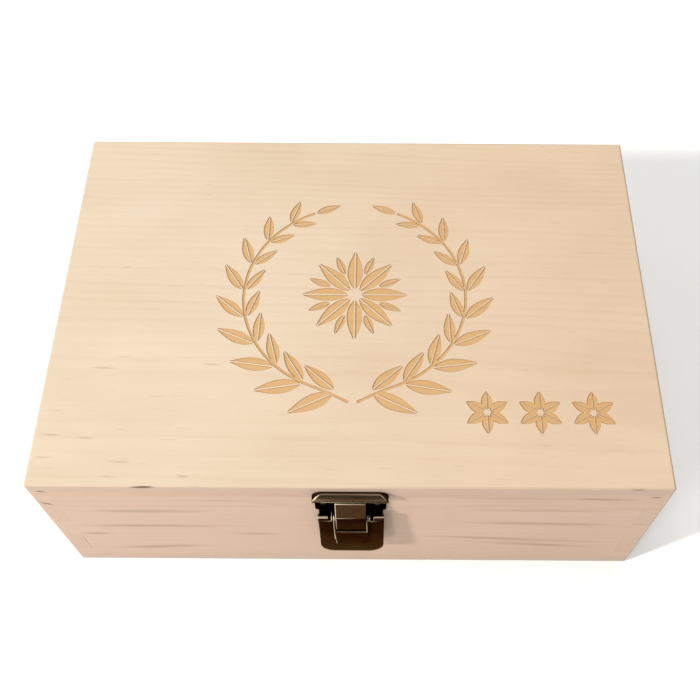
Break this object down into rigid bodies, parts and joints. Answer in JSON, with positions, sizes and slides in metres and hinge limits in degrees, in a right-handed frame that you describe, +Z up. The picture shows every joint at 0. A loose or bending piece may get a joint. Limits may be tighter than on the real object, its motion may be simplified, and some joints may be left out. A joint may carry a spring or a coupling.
{
  "type": "compartment keepsake box",
  "caption": "Flat rectangular pine keepsake box with a hinged lid, a toggle latch at the front and fixed dividers inside for papers and small things.",
  "frame": {"origin": "centre of the underside of the box, on the surface it stands on", "axes": "+X to the right along the width, -Y towards the front with the latch, +Z up"},
  "size_m": [0.3, 0.2258, 0.105],
  "materials": {
    "pine_board": "untreated pale pine, sanded, with eased edges",
    "pine_panel": "untreated pale pine, sanded, with eased edges",
    "pine_divider": "untreated pale pine, sanded, with eased edges",
    "antique_bronze": "pressed steel sheet, antique bronze plating, satin with worn bright edges",
    "screw_bronze": "antique bronze plated screws"
  },
  "bodies": {
    "base": {"front_board": "pine_board", "back_board": "pine_board", "left_board": "pine_board", "right_board": "pine_board", "bottom_panel": "pine_panel", "main_divider": "pine_divider", "short_divider_1": "pine_divider", "short_divider_2": "pine_divider", "left_hinge_base_leaf": "antique_bronze", "right_hinge_base_leaf": "antique_bronze", "left_hinge_pin": "antique_bronze", "right_hinge_pin": "antique_bronze", "hinge_base_screws": "screw_bronze", "latch_base_plate": "antique_bronze", "latch_lever_pin": "antique_bronze", "latch_plate_screws": "screw_bronze"},
    "lid": {"lid_top_panel": "pine_panel", "lid_front_rail": "pine_board", "lid_back_rail": "pine_board", "lid_left_rail": "pine_board", "lid_right_rail": "pine_board", "left_hinge_lid_leaf": "antique_bronze", "right_hinge_lid_leaf": "antique_bronze", "hinge_lid_screws": "screw_bronze", "latch_keeper": "antique_bronze", "keeper_screws": "screw_bronze"},
    "latch_lever": {"latch_lever": "antique_bronze", "latch_strap_pin": "antique_bronze"},
    "latch_strap": {"latch_strap": "antique_bronze"}
  },
  "joints": [
    {"name": "lid_hinge", "type": "hinge", "parent": "base", "child": "lid", "pos_m": [0, 0.1079, 0.08], "axis": [-1, 0, 0], "range_deg": [0, 105]},
    {"name": "latch_lever_pivot", "type": "hinge", "parent": "base", "child": "latch_lever", "pos_m": [0, -0.1087, 0.0768], "axis": [-1, 0, 0], "range_deg": [0, 105]},
    {"name": "latch_strap_pivot", "type": "hinge", "parent": "latch_lever", "child": "latch_strap", "pos_m": [0, -0.1096, 0.0675], "axis": [1, 0, 0], "range_deg": [0, 105]}
  ],
  "couplings": [
    {"joint": "latch_strap_pivot", "follows": "latch_lever_pivot", "ratio": 1}
  ]
}
